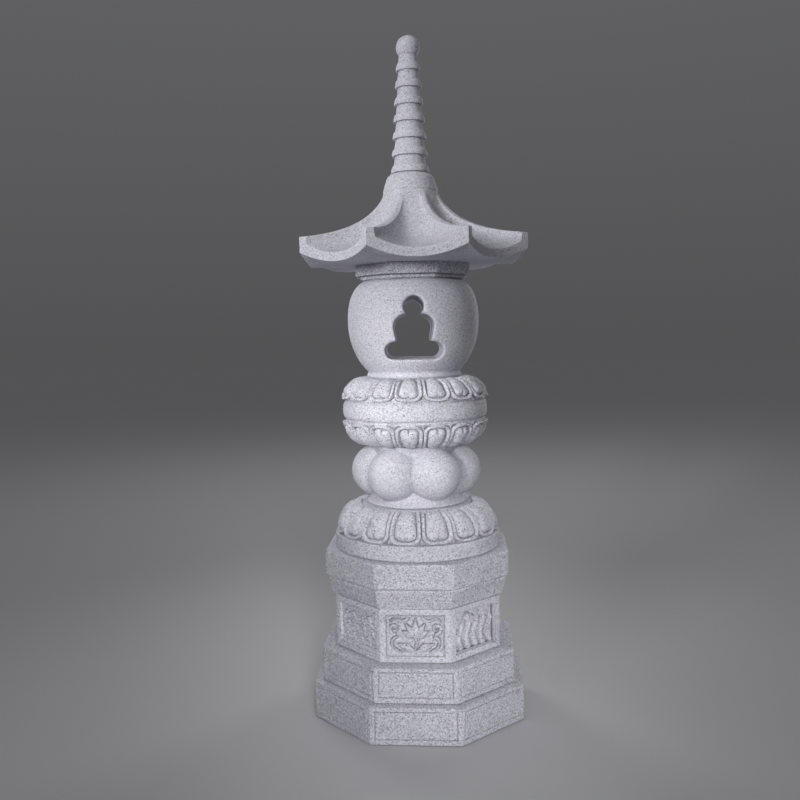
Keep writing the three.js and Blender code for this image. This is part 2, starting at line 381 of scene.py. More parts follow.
def edge_way(edge: Edge) -> tuple[float, float, float, float]:
    """Describe an edge about the stack's axis.

    Args:
        edge: The edge.

    Returns:
        Its length and the distance of its nearer end from the axis, both in mm, and how far it runs
        round the axis and upwards, each from 0 to 1.
    """
    nothing = 1e-9
    low, high = (vertex.co for vertex in edge.verts)
    run = high - low
    length = max(run.length, nothing)
    middle = Vector(((low.x + high.x) / 2, (low.y + high.y) / 2, 0))
    away = middle.normalized() if middle.length > nothing else Vector((1, 0, 0))
    around = abs(Vector((-away.y, away.x, 0)).dot(run)) / length
    near = min(low.xy.length, high.xy.length)
    return length / MM, near / MM, around, abs(run.z) / length


def split_long(piece: Piece, spacing: float, longer_than: float, upright: bool = False) -> None:
    """Cut the long edges that run one way into equal parts, and the faces between them with them.

    Args:
        piece: The object in edit mode.
        spacing: Length of a part, in mm.
        longer_than: Only edges longer than this are cut, in mm.
        upright: Whether the edges that run upwards are cut, or those that run round the axis.
    """
    straight = 0.9
    lengths = []

    def wanted(edge: Edge) -> bool:
        """Say whether the edge runs the right way and is long enough, and keep its length."""
        length, _, around, up = edge_way(edge)
        if length > longer_than and (up if upright else around) > straight:
            lengths.append(length)
            return True
        return False

    if choose(piece, Part.EDGE, wanted):
        bpy.ops.mesh.subdivide(number_cuts=max(1, round(max(lengths) / spacing) - 1), smoothness=0.0)


def finish_piece(piece: Piece, node: str, slot: Slot) -> None:
    """Shade a finished piece, give it its granite and put it in its CAD stone's place.

    Args:
        piece: The finished piece.
        node: CAD node that it replaces.
        slot: Material slot that its finish comes from.
    """
    pick(piece)
    bpy.ops.object.shade_smooth_by_angle(angle=math.radians(CREASE))
    mark_hollows(piece)
    piece.data.materials.clear()
    piece.data.materials.append(GRANITES[slot].material())
    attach(piece, "root")
    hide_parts(node)
    piece.data.calc_loop_triangles()
    log.info("%s stands for %s: %d triangles", piece.name, node, len(piece.data.loop_triangles))


# Finishes


def linear(code: str) -> tuple[float, float, float, float]:
    """Turn an sRGB hex colour into linear red, green, blue and full alpha.

    Args:
        code: Colour such as "#cfcfd6".

    Returns:
        The linear colour.
    """
    shares = [int(code[place:place + 2], 16) / 255 for place in (1, 3, 5)]
    values = [share / 12.92 if share <= 0.04045 else ((share + 0.055) / 1.055) ** 2.4 for share in shares]
    return values[0], values[1], values[2], 1.0


def add_node(tree: bpy.types.NodeTree, kind: str, links: dict[str, Any], **settings: Any) -> Any:
    """Add a node with its settings, input values and links.

    Args:
        tree: Node tree that takes the node.
        kind: Blender's name of the node type.
        links: Value or output socket for each named or numbered input.
        settings: Values for the node's own properties.

    Returns:
        The new node's outputs.
    """
    node = tree.nodes.new(kind)
    for name, value in settings.items():
        setattr(node, name, value)
    for name, value in links.items():
        socket = node.inputs[int(name)] if name.isdigit() else node.inputs[name]
        if isinstance(value, bpy.types.NodeSocket):
            tree.links.new(value, socket)
        else:
            socket.default_value = value
    return node.outputs


@dataclass(frozen=True, kw_only=True)
class Granite:
    """Pale grey biotite granite with one surface finish.

    To the eye it is a tight mix of milky feldspar, grey glassy quartz and black mica flecks, quite
    matt. Chiselling bruises the grains, which makes them paler and rougher, and rubbing shows them.
    Painted shade darkens its hollows, standing in for the shade that falls there, with a little grey dust,
    and its arrises are worn pale. The widths grain, pit, grit and tone_width and every depth are in mm, the
    other numbers are shares.
    """

    name: str
    mica_share: float
    pit_depth: float
    grit_depth: float
    roughness: float
    feldspar: str = "#d4d3dc"
    bruised: str = "#e3e2ea"
    quartz: str = "#c0bfc9"
    mica: str = "#7c7b85"
    grain: float = 3.4
    wander: float = 0.35
    quartz_share: float = 0.34
    bruised_share: float = 0.2
    pit: float = 4.0
    grit: float = 1.6
    bump: float = 0.6
    tone: float = 0.05
    tone_width: float = 140.0
    # These two set the painted shade in the hollows, which also pales the worn arrises a little, and the
    # hollow depth, in mm, at which that shade is full
    shade_and_wear: float = 0.3
    shade_depth: float = 2.5

    def material(self) -> bpy.types.Material:
        """Return this granite as a material, made once."""
        if self.name in bpy.data.materials:
            return bpy.data.materials[self.name]
        material = bpy.data.materials.new(self.name)
        material.use_nodes = True
        tree = material.node_tree
        add = functools.partial(add_node, tree)
        shader = tree.nodes["Principled BSDF"]
        shader.inputs["Roughness"].default_value = self.roughness
        shader.inputs["Specular IOR Level"].default_value = 0.3
        shader.inputs["IOR"].default_value = 1.5
        # The place wanders by a share of a grain, so that grains interlock
        grain = self.grain * MM
        place = add("ShaderNodeTexCoord", {})["Object"]
        push = add("ShaderNodeTexNoise", {"Vector": place, "Scale": 1 / grain, "Detail": 1.0})["Color"]
        push = add("ShaderNodeVectorMath", {"0": push, "1": (0.5, 0.5, 0.5)}, operation="SUBTRACT")[0]
        push = add("ShaderNodeVectorMath", {"0": push, "Scale": grain * self.wander}, operation="SCALE")[0]
        place = add("ShaderNodeVectorMath", {"0": place, "1": push}, operation="ADD")[0]
        tree.links.new(self.colour(add, place), shader.inputs["Base Color"])
        tree.links.new(self.relief(add, place), shader.inputs["Normal"])
        return material

    def colour(self, add: Callable[..., Any], place: bpy.types.NodeSocket) -> bpy.types.NodeSocket:
        """Return the mixed colour of the grains, with painted shade in the hollows and pale worn arrises.

        Args:
            add: Adds a node to the material.
            place: Socket with the place on the object.

        Returns:
            The socket with the colour.
        """
        grains = add("ShaderNodeTexVoronoi", {"Vector": place, "Scale": 1 / (self.grain * MM)})["Color"]
        draw_of_grain = add("ShaderNodeSeparateColor", {"Color": grains})["Red"]
        mix = add("ShaderNodeValToRGB", {"Fac": draw_of_grain})["Color"]
        ramp = mix.node.color_ramp
        ramp.interpolation = "CONSTANT"
        ramp.elements[0].color = linear(self.mica)
        ramp.elements[1].position = self.mica_share
        ramp.elements[1].color = linear(self.quartz)
        ramp.elements.new(self.mica_share + self.quartz_share).color = linear(self.feldspar)
        ramp.elements.new(1 - self.bruised_share).color = linear(self.bruised)
        # The tone changes slowly, over about a hand's width
        clouds = add("ShaderNodeTexNoise", {"Vector": place, "Scale": 1 / (self.tone_width * MM),
                                            "Detail": 3.0})[0]
        tone = add("ShaderNodeMapRange", {"Value": clouds, "From Min": 0.3, "From Max": 0.7,
                                          "To Min": 1 - self.tone, "To Max": 1 + self.tone})[0]
        # Painted shade darkens the hollows where shade falls, with a little grey dust, and the arrises are
        # knocked pale
        depth = add("ShaderNodeAttribute", {}, attribute_name=HOLLOW)["Fac"]
        shade_and_wear = add("ShaderNodeMapRange", {"Value": depth, "From Min": -self.shade_depth / 10,
                                          "From Max": self.shade_depth, "To Min": 1 + self.shade_and_wear / 10,
                                          "To Max": 1 - self.shade_and_wear})[0]
        for factor in (tone, shade_and_wear):
            mix = add("ShaderNodeVectorMath", {"0": mix, "Scale": factor}, operation="SCALE")[0]
        return mix

    def relief(self, add: Callable[..., Any], place: bpy.types.NodeSocket) -> bpy.types.NodeSocket:
        """Return the normal of the tooled surface: tool pits with the grit of broken grains on them.

        Args:
            add: Adds a node to the material.
            place: Socket with the place on the object.

        Returns:
            The socket with the normal.
        """
        pits = add("ShaderNodeTexVoronoi", {"Vector": place, "Scale": 1 / (self.pit * MM)},
                   feature="SMOOTH_F1")["Distance"]
        pitted = add("ShaderNodeBump", {"Height": pits, "Strength": self.bump,
                                        "Distance": self.pit_depth * MM})["Normal"]
        grit = add("ShaderNodeTexNoise", {"Vector": place, "Scale": 1 / (self.grit * MM), "Detail": 2.0})[0]
        return add("ShaderNodeBump", {"Height": grit, "Strength": self.bump,
                                      "Distance": self.grit_depth * MM, "Normal": pitted})["Normal"]


GRANITES: dict[Slot, Granite] = {
    Slot.CHISELLED: Granite(
        name="grey granite, fine chiselled", feldspar="#dad9e2", quartz="#b0afba", mica="#65646f", grain=2.5,
        mica_share=0.08, quartz_share=0.36, bruised_share=0.28, pit=5.0, pit_depth=1.2, grit_depth=0.8,
        shade_and_wear=0.35, roughness=0.92),
    Slot.CARVED: Granite(
        name="grey granite, hand carved", quartz="#bcbbc5", mica_share=0.045, pit_depth=0.9, grit_depth=0.6,
        shade_and_wear=0.65, roughness=0.9),
    Slot.HONED: Granite(
        name="grey granite, rubbed smooth", mica="#8a8993", mica_share=0.03, grain=3.0, pit=3.5,
        pit_depth=0.35, grit_depth=0.3, tone=0.035, roughness=0.82),
}


# Stones in general


@dataclass(frozen=True, kw_only=True)
class Stone:
    """One stone of the stack.

    Args:
        node: CAD node that it stands for.
        slot: Material slot that its finish comes from.
        bed: Height of its underside, in mm.
        turn: How far it is turned on the stack's axis, in degrees.
        bumps: Height and width of each layer of unevenness that hand tools leave, in mm.
    """

    node: str
    slot: Slot
    bed: float
    turn: float = 0.0
    bumps: tuple[Pair, ...] = ((0.8, 30.0),)

    @property
    def name(self) -> str:
        """Name of the finished piece."""
        return f"{self.node}_dressed"

    def build(self) -> Piece:
        """Return the stone's form as one closed mesh, before it is made uneven."""
        raise NotImplementedError

    def worked(self) -> Piece:
        """Return the stone as hand tools leave it."""
        piece = self.build()
        for amount, size in self.bumps:
            uneven(piece, amount, size)
        return piece

    def turned(self, outline: np.ndarray, steps: int, first_angle: float = 0.0,
               sweep: float = FULL_TURN) -> Piece:
        """Turn an outline about the stack's axis, as on a lathe or in equal flat sides.

        Args:
            outline: Points of radius and height in mm, from the axis below to the axis above.
            steps: Number of sides.
            first_angle: Angle of the first corner from +X, in radians.
            sweep: How far it turns, in radians.

        Returns:
            The new piece with its faces outwards, closed where the sweep is a full turn.
        """
        piece = primitive(self.name, bpy.ops.mesh.primitive_plane_add, size=10 * MM)
        out = Vector((math.cos(first_angle), math.sin(first_angle), 0))
        places = [out * (radius * MM) + Vector((0, 0, (self.bed + height) * MM))
                  for radius, height in outline]
        with editing(piece):
            draw(places)
            bpy.ops.mesh.spin(steps=steps, angle=sweep, center=(0, 0, 0), axis=(0, 0, 1))
            close_skin()
        return piece


@dataclass(frozen=True, kw_only=True)
class EightSidedStone(Stone):
    """Stone with eight flat sides.

    Args:
        height: Its height, in mm.
        corner: Its widest radius, in mm, at the corners.
        arris: Width of the rounding along its upright corners, in mm.
        cell: Length of a part where long edges are cut, in mm.
        long_edge: Edges longer than this are cut, in mm.
    """

    height: float
    corner: float
    arris: float = 2.5
    cell: float = 6.0
    long_edge: float = 120.0
    bumps: tuple[Pair, ...] = ((1.0, 60.0), (0.5, 14.0))

    def sided(self, corners: Sequence[Sequence[float]], spacing: float = 0.0) -> Piece:
        """Return the stone with its flat sides.

        Args:
            corners: Corners of its outline at a corner of the stone.
            spacing: Largest distance between points on a straight in mm, or 0 for none between.

        Returns:
            The new piece.
        """
        return self.turned(eased(corners, spacing), SIDES, HALF_SIDE + math.radians(self.turn))

    def round_arrises(self, piece: Piece, inside: float) -> None:
        """Round the stone's upright arrises, in edit mode.

        Args:
            piece: The object in edit mode.
            inside: Edges nearer to the axis than this stay sharp, in mm.
        """
        aslant = 0.3

        def on_arris(edge: Edge) -> bool:
            """Say whether the edge runs along a corner of the stone."""
            _, near, around, _ = edge_way(edge)
            return near > inside and around < aslant

        choose(piece, Part.EDGE, on_arris)
        bpy.ops.mesh.bevel(offset=self.arris * MM, segments=2, affect="EDGES", clamp_overlap=True)

    def choose_sides(self, piece: Piece) -> None:
        """Select the eight sides, in edit mode.

        Args:
            piece: The object in edit mode.
        """
        least_share = 0.7
        aslant = 0.1
        side_area = least_share * self.corner * self.height * MM * MM * 2 * math.sin(HALF_SIDE)
        choose(piece, Part.FACE, lambda face: abs(face.normal.z) < aslant and face.calc_area() > side_area)


# Base


@dataclass(frozen=True, kw_only=True)
class GroovedTier(EightSidedStone):
    """Eight-sided slab with a V-grooved frame on each side."""

    margin: float = 11.5
    margin_shift: float = 1.5
    groove: float = 7.0
    groove_depth: float = 4.5
    ledge: float = 60.0

    def build(self) -> Piece:
        """Return the slab's form."""
        piece = self.sided([*bed_edge(self.corner, self.arris), (self.corner, self.height, self.arris),
                            (self.corner - self.ledge, self.height), (0, self.height)])
        with editing(piece):
            self.round_arrises(piece, self.corner - self.arris - 1)
            self.choose_sides(piece)
            step_in(self.margin)
            bpy.ops.transform.translate(value=(0, 0, self.margin_shift * MM))
            for rise in (-self.groove_depth, self.groove_depth):
                step_in(self.groove / 2, rise)
            split_long(piece, self.cell, self.long_edge)
            split_long(piece, self.cell, 0.5 * self.height, upright=True)
        return piece


class Motif(Enum):
    """Generic carved subjects of the pedestal's panels."""

    LOTUS = "lotus on its stem"
    LEAVES = "standing leaves"
    CLOUDS = "cloud scrolls"
    SCROLL = "leaf scroll"


@dataclass(frozen=True)
class Stroke:
    """One rounded, tapering stroke of a relief.

    Args:
        points: Places along it, in mm from the panel's middle.
        width: Half its width at its start, in mm.
        taper: Share of that width at its end.
        height: How far it stands up, in mm.
    """

    points: Sequence[Pair]
    width: float
    taper: float
    height: float

    def path(self) -> np.ndarray:
        """Return places along it, with corners cut where they are few, so that they make a flowing line."""
        path = np.array(self.points, dtype=float)
        for _ in range(2 if len(path) < 9 else 0):
            cut = np.stack([0.75 * path[:-1] + 0.25 * path[1:], 0.25 * path[:-1] + 0.75 * path[1:]], axis=1)
            path = np.concatenate([path[:1], cut.reshape(-1, 2), path[-1:]])
        return path

    def shape(self, across: np.ndarray, up: np.ndarray) -> tuple[np.ndarray, np.ndarray]:
        """Return the stroke's height and how far outside it lies each place.

        Args:
            across: Places across the panel, in mm.
            up: Places up the panel, in mm.

        Returns:
            Heights above the ground and distances from the stroke's edge, in mm.
        """
        path = self.path()
        spans = np.linalg.norm(np.diff(path, axis=0), axis=1)
        run = np.concatenate([[0], np.cumsum(spans)]) / spans.sum()
        best, clear = np.zeros_like(across), np.full_like(across, np.inf)
        for index, span in enumerate(spans):
            start, step = path[index], path[index + 1] - path[index]
            share = ((across - start[0]) * step[0] + (up - start[1]) * step[1]) / span ** 2
            share = np.clip(share, 0, 1)
            away = np.hypot(across - start[0] - share * step[0], up - start[1] - share * step[1])
            along = run[index] + share * (run[index + 1] - run[index])
            half = self.width * (1 + (self.taper - 1) * along)
            best = np.maximum(best, self.height * np.sqrt(np.clip(1 - (away / half) ** 2, 0, 1)))
            clear = np.minimum(clear, away - half)
        return best, clear


def petal(foot: Pair, tip: Pair, width: float, height: float) -> list[Stroke]:
    """Return a pointed petal or leaf with a raised rib.

    Args:
        foot: Where it starts, in mm.
        tip: Where it ends, in mm.
        width: Half its width at its middle, in mm.
        height: How far it stands up, in mm.

    Returns:
        Its strokes.
    """
    middle = (0.55 * foot[0] + 0.45 * tip[0], 0.55 * foot[1] + 0.45 * tip[1])
    return [Stroke((middle, tip), width, 0.12, height), Stroke((middle, foot), width, 0.3, 0.9 * height),
            Stroke((foot, tip), 0.16 * width, 0.5, height + 1.5)]


def motif_strokes(motif: Motif) -> list[Stroke]:
    """Return the strokes of a generic carved subject.

    Args:
        motif: The subject.

    Returns:
        Its strokes, in mm from the panel's middle.
    """
    strokes: list[Stroke] = []
    if motif is Motif.LOTUS:
        ribbons = (((70, -8), (88, -20), (84, -48), (50, -66)), ((26, 60), (48, 48), (74, 62), (90, 52)))
        for lean, reach in ((-66, 52), (66, 52), (-36, 60), (36, 60), (0, 66)):
            angle = math.radians(lean)
            strokes += petal((0, -10), (reach * math.sin(angle), -8 + reach * math.cos(angle)), 13, 8)
        strokes.append(Stroke(((0, -12), (7, -32), (-4, -52), (2, -68)), 5, 0.8, 6))
        for side in (-1, 1):
            strokes += petal((side * 6, -60), (side * 64, -34), 14, 7)
            strokes.append(Stroke(curl((side * 76, 22), 19, -90, side * 430), 6, 0.5, 6))
            for ribbon in ribbons:
                strokes.append(Stroke([(side * across, up) for across, up in ribbon], 5, 0.5, 6))
    elif motif is Motif.LEAVES:
        for index, (place, top) in enumerate(((-76, 26), (-38, 44), (0, 32), (38, 48), (76, 28))):
            side = 1 if index % 2 else -1
            stem = [(place + 9 * math.sin(up / 17), up) for up in range(-62, top, 6)]
            tip = curl((place + 8 * side, top), 14, 90 + 100 * side, -300 * side, 0.6)
            strokes += [Stroke(stem, 12.5, 0.7, 20), Stroke(tip, 6.5, 0.8, 19)]
    elif motif is Motif.CLOUDS:
        for row, up in enumerate((-46, -8, 32)):
            for column in range(4):
                place = -72 + 44 * column + (14 if row % 2 else 0)
                turn = -1 if (row + column) % 2 else 1
                tail = ((place + 12, up - 10), (place + 30, up - 15), (place + 40, up + 4))
                strokes += [Stroke(curl((place, up), 17, 200, turn * 470, 0.2), 5, 0.7, 6),
                            Stroke(tail, 4.5, 0.4, 5)]
    else:
        stem = [(place, 26 * math.sin(place / 30)) for place in range(-88, 89, 8)]
        strokes.append(Stroke(stem, 4.5, 0.9, 6))
        for index, place in enumerate((-72, -26, 22, 68)):
            side = -1 if index % 2 else 1
            strokes.append(Stroke(curl((place, -side * 24), 19, side * 90, side * -420, 0.2), 4.5, 0.6, 6.5))
            strokes += petal((place + 8, side * 14), (place + 24, side * 60), 10, 7)
            strokes += petal((place + 2, side * 14), (place - 16, side * 52), 8, 6)
    return strokes


@dataclass(frozen=True, kw_only=True)
class PedestalBlock(EightSidedStone):
    """Eight-sided block with a sunk panel of relief on each side."""

    height: float = 207.0
    corner: float = 338.0
    rebate: Pair = (10.0, 8.0)
    line_margin: float = 19.0
    line: float = 4.0
    line_depth: float = 2.5
    sink: float = 20.0
    sink_wall: float = 2.5
    kerb: float = 1.5
    panel_reach: Pair = (130.0, 100.0)
    low_ground: float = 13.0
    outline_cut: float = 6.5
    outline_width: float = 5.5
    cuts: int = 78
    motifs: tuple[Motif, ...] = (Motif.SCROLL, Motif.CLOUDS, Motif.LOTUS, Motif.LEAVES)
    bumps: tuple[Pair, ...] = ((0.9, 30.0),)

    def build(self) -> Piece:
        """Return the block's form."""
        inner, below = self.corner - self.rebate[0], self.height - self.rebate[1]
        piece = self.sided([*bed_edge(self.corner, self.arris), (self.corner, below, 1), (inner, below),
                            (inner, self.height), (0, self.height)])
        with editing(piece):
            self.round_arrises(piece, self.corner - self.arris - 1)
            self.choose_sides(piece)
            step_in(self.line_margin)
            for width, rise in ((self.line / 2, -self.line_depth), (self.line / 2, self.line_depth),
                                (self.sink_wall, -self.sink), (self.kerb, 0)):
                step_in(width, rise)
            bpy.ops.mesh.subdivide(number_cuts=self.cuts, smoothness=0.0)
        raise_relief(piece, self.relief(piece))
        return piece

    def relief(self, piece: Piece) -> np.ndarray:
        """Return the height of the carving at each point of the sunk panels.

        Args:
            piece: The block, before it is carved.

        Returns:
            Heights in mm.
        """
        points = points_of(piece)
        heights = np.zeros(len(points))
        floor = self.corner * math.cos(HALF_SIDE) - self.sink
        flatness = 0.2
        for side in range(SIDES):
            facing = side * SIDE_ANGLE + math.radians(self.turn)
            out = points[:, 0] * math.cos(facing) + points[:, 1] * math.sin(facing)
            across = -points[:, 0] * math.sin(facing) + points[:, 1] * math.cos(facing)
            up = points[:, 2] - self.bed - self.height / 2
            inside = ((np.abs(out - floor) < flatness) & (np.abs(across) < self.panel_reach[0])
                      & (np.abs(up) < self.panel_reach[1]))
            motif = self.motifs[side % len(self.motifs)]
            ground = 0.0 if motif is Motif.LEAVES else self.low_ground
            places = (across[inside], up[inside])
            raised, gaps = zip(*(stroke.shape(*places) for stroke in motif_strokes(motif)))
            carved, clear = np.max(raised, axis=0), np.min(gaps, axis=0)
            incised = self.outline_cut * np.clip(1 - clear / self.outline_width, 0, 1) * (carved <= 0)
            heights[inside] = np.clip(ground + carved - incised, 0, None)
        return heights


@dataclass(frozen=True, kw_only=True)
class Cornice(EightSidedStone):
    """Eight-sided slab with an upright band above a small step and a slight taper."""

    height: float = 165.0
    corner: float = 376.0
    ledge: float = 62.0
    cell: float = 8.0
    sharp_inside: float = 345.0

    def build(self) -> Piece:
        """Return the slab's form."""
        piece = self.sided([*bed_edge(350, 1.5), (351, 12, 1), (365, 57, 1.5), (366, 63, 1), (361, 68, 1),
                            (self.corner, 75, 3), (self.corner, self.height, 2.5),
                            (self.corner - self.ledge, self.height), (0, self.height, 0, 1)], spacing=14)
        with editing(piece):
            self.round_arrises(piece, self.sharp_inside)
            split_long(piece, self.cell, self.long_edge)
        return piece


# Lotus stones


@dataclass(frozen=True, kw_only=True)
class PetalRow:
    """One ring of sixteen petals, carved on a stretch of a stone's outline.

    Args:
        tip: Point of the outline where the petals' tips lie, in mm.
        foot: Point of the outline where their feet lie, in mm.
        corner: How far a petal's rounded end reaches in from its tip, in mm.
        rim: Width of the raised rim, in mm.
        bluntness: How square that end is, 2 for round.
        rise: Height of the rim, in mm.
        valley: Width of the valley between the rim and the swelling inside it, in mm.
        dome: Height of the swelling, in mm.
        swell: How far in from its edge the swelling reaches its full height, in mm.
        cusp: How deep the notch between the dome's two lobes goes, in mm.
        notch: Half width, distance behind the rim and half length of that notch, in mm.
        dart_gap: How far from a petal's edge the dart between two tips starts, in mm.
        flare: How far the tip curls outwards, in mm.
        flare_reach: How far in from the tip the curl is felt, in mm.
        run_out: How far before its foot the carving starts to sink into the stone, in mm.
    """

    tip: Pair
    foot: Pair
    corner: float
    rim: float
    bluntness: float = 2.8
    rise: float = 13.0
    valley: float = 3.5
    dome: float = 17.0
    swell: float = 28.0
    cusp: float = 11.0
    notch: tuple[float, float, float] = (5.0, 12.0, 20.0)
    dart_gap: float = 1.5
    flare: float = 6.0
    flare_reach: float = 9.0
    run_out: float = 12.0

    def heights(self, inward: np.ndarray, length: float, share: np.ndarray, radius: np.ndarray) -> np.ndarray:
        """Return the carving's height at each point.

        Args:
            inward: Distances from the tips, along the outline, in mm.
            length: Length of a petal, in mm.
            share: Places round the stone, from -1 to 1 across a petal.
            radius: Distances from the axis, in mm.

        Returns:
            Heights in mm, zero outside the row.
        """
        half = radius * PETAL_PITCH / 2
        end = np.clip(1 - inward / self.corner, 0, 2)
        reach = (np.abs(share) ** self.bluntness + end ** self.bluntness) ** (1 / self.bluntness)
        inside = half * (1 - reach)
        rim = self.rim
        knots = [0.0, 1.0, 2.5, 0.35 * rim, 0.8 * rim, rim, rim + 2.0]
        edge = self.rise * np.interp(inside, knots, [0.0, 0.6, 0.95, 1.0, 0.95, 0.3, 0.0])
        wide, behind, long = self.notch
        across = share * half
        notch = self.cusp * np.exp(-np.abs(across) / wide) * np.exp(-((inward - rim - behind) / long) ** 2)
        swelling = np.clip((inside - rim - self.valley - notch) / self.swell, 0, 1)
        swelling = self.dome * np.sqrt(1 - (1 - swelling) ** 2)
        dart = np.clip(0.9 * (-inside - self.dart_gap), 0, 0.75 * self.rise)
        curled = self.flare * np.exp(-np.clip(inward, 0, None) / self.flare_reach) * np.clip(inside / 3, 0, 1)
        height = np.where(inside < 0, dart, np.maximum(edge, swelling) + curled)
        left = np.clip((length + 1.0 - inward) / self.run_out, 0, 1)
        height = height * np.sqrt(1 - (1 - left) ** 2)
        within = (inward >= -0.1) & (inward <= length + 0.1)
        return np.where(within, height, 0.0)


@dataclass(frozen=True, kw_only=True)
class LotusStone(Stone):
    """Round stone with one or two rings of petals."""

    outline: tuple[tuple[float, ...], ...]
    rows: tuple[PetalRow, ...]
    columns: int = 40
    spacing: float = 2.5

    def build(self) -> Piece:
        """Return the stone's form."""
        outline = eased(self.outline, self.spacing)
        piece = self.turned(outline, self.columns, math.radians(self.turn), PETAL_PITCH)
        raise_relief(piece, self.relief(piece, outline))
        repeat_round(piece, PETALS)
        return piece

    def relief(self, piece: Piece, outline: np.ndarray) -> np.ndarray:
        """Return the height of the petals at each point.

        Args:
            piece: One petal's share of the turned stone.
            outline: The points that it was turned from.

        Returns:
            Heights in mm.
        """
        points = points_of(piece)
        radius = np.hypot(points[:, 0], points[:, 1])
        level = points[:, 2] - self.bed
        aside, above = radius[:, None] - outline[None, :, 0], level[:, None] - outline[None, :, 1]
        lengths = np.concatenate([[0], np.cumsum(np.linalg.norm(np.diff(outline, axis=0), axis=1))])
        along = lengths[np.argmin(np.hypot(aside, above), axis=1)]
        angle = np.arctan2(points[:, 1], points[:, 0]) - math.radians(self.turn)
        share = 2 * (angle % PETAL_PITCH) / PETAL_PITCH - 1
        heights = np.zeros(len(points))
        for row in self.rows:
            tip, foot = (lengths[np.argmin(np.hypot(*(outline - end).T))] for end in (row.tip, row.foot))
            inward = (along - tip) * math.copysign(1, foot - tip)
            heights = np.maximum(heights, row.heights(inward, abs(foot - tip), share, radius))
        return heights


LOWER_LOTUS = LotusStone(
    node="lower_lotus_stone", slot=Slot.CARVED, bed=640.0, turn=2.2,
    outline=(*bed_edge(320, 2), (320, 58, 4), (300, 60, 2), (300, 70), (299, 88), (291, 107), (279, 128),
             (260, 146), (240, 153), (216, 156), (212, 166, 1.5), (0, 166, 0, 1)),
    rows=(PetalRow(tip=(300, 60), foot=(216, 156), corner=42.0, rim=15.0),),
)

UPPER_LOTUS = LotusStone(
    node="upper_lotus_stone", slot=Slot.CARVED, bed=1041.0, turn=5.7,
    outline=(*bed_edge(187, 1), (190, 8), (222, 17), (246, 33), (258, 52), (264, 68), (270, 90), (266, 97, 3),
             (277, 106, 4), (280.2, 120, 0, 1), (281, 133, 0, 1), (280.2, 147, 0, 1), (277, 160, 4),
             (266, 169, 3), (270, 176), (270, 186), (262, 204),
             (247, 222), (232, 234), (210, 241), (189, 243), (187, 252, 1.5), (0, 252, 0, 1)),
    rows=(PetalRow(tip=(270, 90), foot=(190, 8), corner=38.0, rim=14.0, cusp=15.0),
          PetalRow(tip=(270, 176), foot=(189, 243), corner=34.0, rim=14.0, cusp=13.0)),
)


@dataclass(frozen=True, kw_only=True)
class LobedStone(Stone):
    """Six ball-like lobes that swell from a round core between two flared rings."""

    height: float = 235.0
    lobes: int = 6
    lobe_radius: float = 100.5
    lobe_out: float = 152.5
    lobe_up: float = 125.0
    steps: int = 96
    voxel: float = 4.0
    smoothing: int = 5

    def build(self) -> Piece:
        """Return the stone's form."""
        outline = eased([*bed_edge(193, 0, 5), (193, 9, 3), (176, 22, 10), (150, 54, 20), (150, 186, 20),
                         (172, 218, 8), (181, 229, 3), (181, self.height), (0, self.height, 0, 1)], spacing=6)
        core = self.turned(outline, self.steps)
        balls = []
        for lobe in range(self.lobes):
            angle = math.radians(self.turn) + lobe * FULL_TURN / self.lobes
            place = (self.lobe_out * math.cos(angle) * MM, self.lobe_out * math.sin(angle) * MM,
                     (self.bed + self.lobe_up) * MM)
            balls.append(primitive("lobe", bpy.ops.mesh.primitive_uv_sphere_add, segments=72, ring_count=36,
                                   radius=self.lobe_radius * MM, location=place))
            bpy.ops.object.transform_apply(location=True, rotation=True, scale=True)
        pick(core, *balls)
        bpy.ops.object.join()
        modify(core, "REMESH", mode="VOXEL", voxel_size=self.voxel * MM)
        modify(core, "SMOOTH", factor=0.5, iterations=self.smoothing)
        return core


# Fire box


